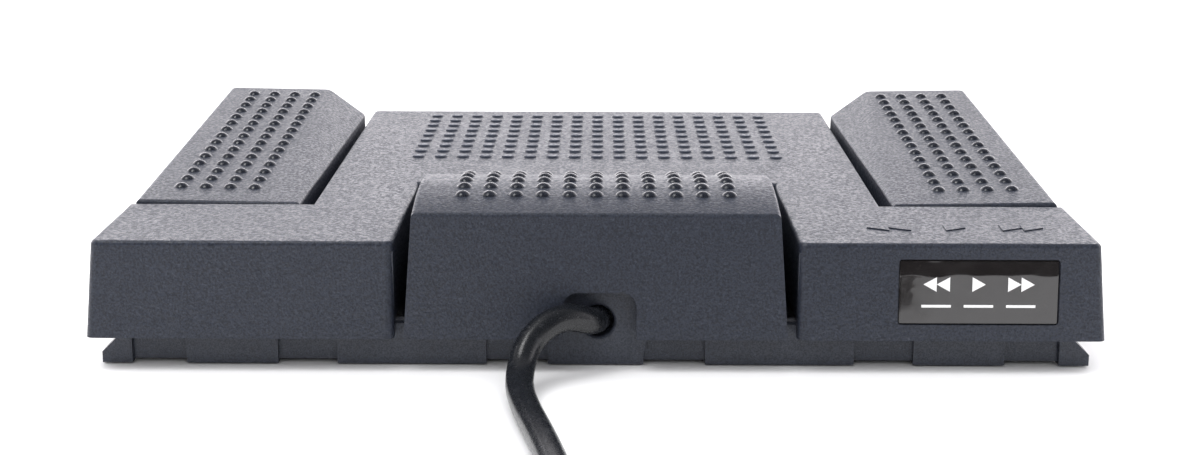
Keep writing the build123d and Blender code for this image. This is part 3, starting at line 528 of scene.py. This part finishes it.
def label_frame():
    """Middle of the label's face, and its directions across, up and out, in metres."""
    low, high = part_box("label_plate")
    out = Vector((0, -math.cos(WALL_DRAFT), math.sin(WALL_DRAFT)))
    up = Vector((0, math.sin(WALL_DRAFT), math.cos(WALL_DRAFT)))
    middle = (low + high) / 2 + out * LABEL_THICKNESS / 2 * MM
    width = high.x - low.x
    height = (high.z - low.z - LABEL_THICKNESS * MM * math.sin(WALL_DRAFT)) / math.cos(WALL_DRAFT)
    return middle, up, out, width, height


def ripple(u, v):
    """Inward ripple of the film in metres at a place on it: its upper edge leans back."""
    wave = noise.noise(Vector((u / MM / 5.0, v / MM / 3.5, 0.4)))
    small = noise.noise(Vector((u / MM / 1.4, v / MM / 1.2, 4.0)))
    bay = noise.noise(Vector((u / MM / 6.0, 2.0, 9.0)))
    top = label_frame_values[4] / 2 / MM
    lean = min(max((v / MM - top + LEAN_HEIGHT + 1.2 * bay) / LEAN_HEIGHT, 0.0), 1.0)
    creep = (0.5 + 0.4 * wave + 0.1 * small) * RIPPLE
    return -(creep + lean * LEAN) * MM


def label_point(u, v, lift=0.0):
    middle, up, out, width, height = label_frame_values
    return middle + Vector((u, 0, 0)) + up * v + out * (ripple(u, v) + lift)


def make_label():
    columns, rows = 96, 40
    middle, up, out, width, height = label_frame_values
    points = []
    for j in range(rows + 1):
        for i in range(columns + 1):
            points.append(label_point((i / columns - 0.5) * width, (j / rows - 0.5) * height))
    wide = columns + 1
    faces = [
        (j * wide + i, j * wide + i + 1, (j + 1) * wide + i + 1, (j + 1) * wide + i)
        for j in range(rows)
        for i in range(columns)
    ]
    rim = (
        [i for i in range(wide)]
        + [j * wide + columns for j in range(1, rows + 1)]
        + [rows * wide + i for i in range(columns - 1, -1, -1)]
        + [j * wide for j in range(rows - 1, 0, -1)]
    )
    back = len(points)
    inward = -out * LABEL_THICKNESS * MM
    for index in rim:
        u = (points[index] - middle).x
        v = (points[index] - middle).dot(up)
        points.append(middle + Vector((u, 0, 0)) + up * v + inward)
    for k in range(len(rim)):
        after = (k + 1) % len(rim)
        faces.append((rim[after], rim[k], back + k, back + after))
    faces.append(tuple(back + k for k in range(len(rim) - 1, -1, -1)))
    film = mesh_piece("label_film", points, faces, label_film(), "centre_pedal")
    for polygon in film.data.polygons[: rows * columns]:
        polygon.use_smooth = True
    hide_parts("label_plate")


def triangle(x, y, size, direction):
    """Corners of a pointer that faces left or right."""
    return [(x, y - size / 2), (x + direction * size * 0.9, y), (x, y + size / 2)]


def bar(x, y, width, height):
    return [
        (x - width / 2, y - height / 2), (x + width / 2, y - height / 2),
        (x + width / 2, y + height / 2), (x - width / 2, y + height / 2),
    ]


def transport_marks(size, pitch):
    """Outlines of rewind, play and forward marks in one row, centred on zero."""
    step = size * 0.9
    return [
        triangle(-pitch + step, 0, size, -1), triangle(-pitch, 0, size, -1),
        triangle(-step / 2, 0, size, 1),
        triangle(pitch - step, 0, size, 1), triangle(pitch, 0, size, 1),
    ]


PRINT_SIZE = 3.0
PRINT_PITCH = 8.6
PRINT_LIFT = 1.6  # the marks stand this far above the label's middle
RULE_LEVEL = -2.9
RULE_SIZE = (6.0, 0.55)
EDGE_STEPS = 8  # points along each edge, so that the print follows the film


def make_print():
    """Three transport marks over a thin rule, printed in white."""
    ink = 0.012 * MM
    marks = transport_marks(PRINT_SIZE, PRINT_PITCH)
    outlines = [[(x, y + PRINT_LIFT) for x, y in shape] for shape in marks]
    outlines += [bar(x, RULE_LEVEL, *RULE_SIZE) for x in (-PRINT_PITCH, 0, PRINT_PITCH)]
    points, faces = [], []
    for outline in outlines:
        first = len(points)
        area = sum(
            a[0] * b[1] - b[0] * a[1] for a, b in zip(outline, outline[1:] + outline[:1])
        )
        ring = outline if area > 0 else outline[::-1]
        middle = (sum(p[0] for p in ring) / len(ring), sum(p[1] for p in ring) / len(ring))
        edge = []
        for a, b in zip(ring, ring[1:] + ring[:1]):
            for step in range(EDGE_STEPS):
                share = step / EDGE_STEPS
                edge.append((a[0] + (b[0] - a[0]) * share, a[1] + (b[1] - a[1]) * share))
        points.append(label_point(middle[0] * MM, middle[1] * MM, ink))
        points += [label_point(x * MM, y * MM, ink) for x, y in edge]
        count = len(edge)
        faces += [(first, first + 1 + k, first + 1 + (k + 1) % count) for k in range(count)]
    mesh_piece("label_print", points, faces, print_ink(), "centre_pedal")


LEGEND_MIDDLE = (75.0, -62.0)
LEGEND_SIZE = 5.0
LEGEND_PITCH = 14.0
LEGEND_RELIEF = (-0.05, 0.25)  # its foot and face, from the cover's top
LEGEND_EDGE = 0.1


def make_legend():
    """Raised transport marks on the cover, at the lead's end of the right-hand side."""
    middle_x, middle_y = LEGEND_MIDDLE
    levels = [COVER_TOP + offset for offset in LEGEND_RELIEF]
    points, faces = [], []
    for outline in transport_marks(LEGEND_SIZE, LEGEND_PITCH):
        first, count = len(points), len(outline)
        points += [Vector((middle_x + x, middle_y + y, z)) * MM for z in levels for x, y in outline]
        faces.append(tuple(first + count + k for k in range(count)))
        for k in range(count):
            after = (k + 1) % count
            faces.append((first + k, first + after, first + count + after, first + count + k))
    legend = mesh_piece(
        "cover_legend", points, faces, slot_finishes["legend"], "centre_pedal"
    )
    rounding = legend.modifiers.new("edges", "BEVEL")
    rounding.width = LEGEND_EDGE * MM
    rounding.segments = 3


label_frame_values = label_frame()
make_label()
make_print()
make_legend()


# ---- return springs ----------------------------------------------------------------------------
def make_springs():
    """Each return spring stands on the base, as its own copy of the CAD spring."""
    for joint in frame["record"]["behaviour"]["joints"]:
        for deforming in joint.get("deforming_nodes", []):
            name = deforming["node"]
            mesh = nodes[name].data.copy()
            mesh.transform(nodes[name].matrix_world)
            spring = bpy.data.objects.new(name + "_wire", mesh)
            bpy.context.scene.collection.objects.link(spring)
            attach(spring, "base")
            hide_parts(name)
            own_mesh(spring)


make_springs()


# ---- stage and light --------------------------------------------------------------------------
def make_stage():
    bpy.ops.mesh.primitive_plane_add(size=8.0, location=(0, 1.0, 0))
    floor = bpy.context.object
    floor.name = "floor"
    finish = Finish("pale_floor", Roughness=0.6)
    cloud = finish.noise(300.0, 2.0)
    floor.data.materials.append(finish.wear(finish.mix(cloud, (0.83, 0.83, 0.84), (0.85, 0.85, 0.86))))


def area_light(name, place, aim, size, power, reflected):
    data = bpy.data.lights.new(name, "AREA")
    data.shape = "RECTANGLE"
    data.size, data.size_y = size
    data.energy = power
    light = bpy.data.objects.new(name, data)
    bpy.context.scene.collection.objects.link(light)
    light.location = place
    light.rotation_euler = (Vector(aim) - Vector(place)).to_track_quat("-Z", "Y").to_euler()
    light.visible_glossy = reflected


def make_world():
    """A pale room: bright low down behind the switch, dim overhead and on the lead's side."""
    world = bpy.data.worlds.new("studio")
    bpy.context.scene.world = world
    world.use_nodes = True
    tree = world.node_tree
    background = tree.nodes["Background"]
    direction = tree.nodes.new("ShaderNodeTexCoord")
    split = tree.nodes.new("ShaderNodeSeparateXYZ")
    tree.links.new(direction.outputs["Generated"], split.inputs["Vector"])
    shares = []
    for axis, low, high, start, end in (("Y", -0.5, 0.5, 0.035, 1.0), ("Z", 0.18, 0.75, 3.7, 0.35)):
        fade = tree.nodes.new("ShaderNodeMapRange")
        fade.interpolation_type = "SMOOTHSTEP"
        for socket, value in (("From Min", low), ("From Max", high), ("To Min", start), ("To Max", end)):
            fade.inputs[socket].default_value = value
        tree.links.new(split.outputs[axis], fade.inputs["Value"])
        shares.append(fade.outputs["Result"])
    product = tree.nodes.new("ShaderNodeMath")
    product.operation = "MULTIPLY"
    tree.links.new(shares[0], product.inputs[0])
    tree.links.new(shares[1], product.inputs[1])
    tree.links.new(product.outputs["Value"], background.inputs["Strength"])
    background.inputs["Color"].default_value = (1.0, 0.97, 1.0, 1)


def make_light():
    scene = bpy.context.scene
    scene.view_settings.view_transform = "Standard"
    make_world()
    area_light("overhead", (0, -0.15, 1.2), (0, -0.1, 0), (2.4, 2.0), 34, False)
    area_light("lead_side", (0, -1.3, 0.7), (0, -0.1, 0), (2.0, 0.8), 8, False)
    area_light("window", (-0.35, -0.2, 0.9), (0, 0, 0), (0.35, 0.35), 3.0, True)


make_stage()
make_light()
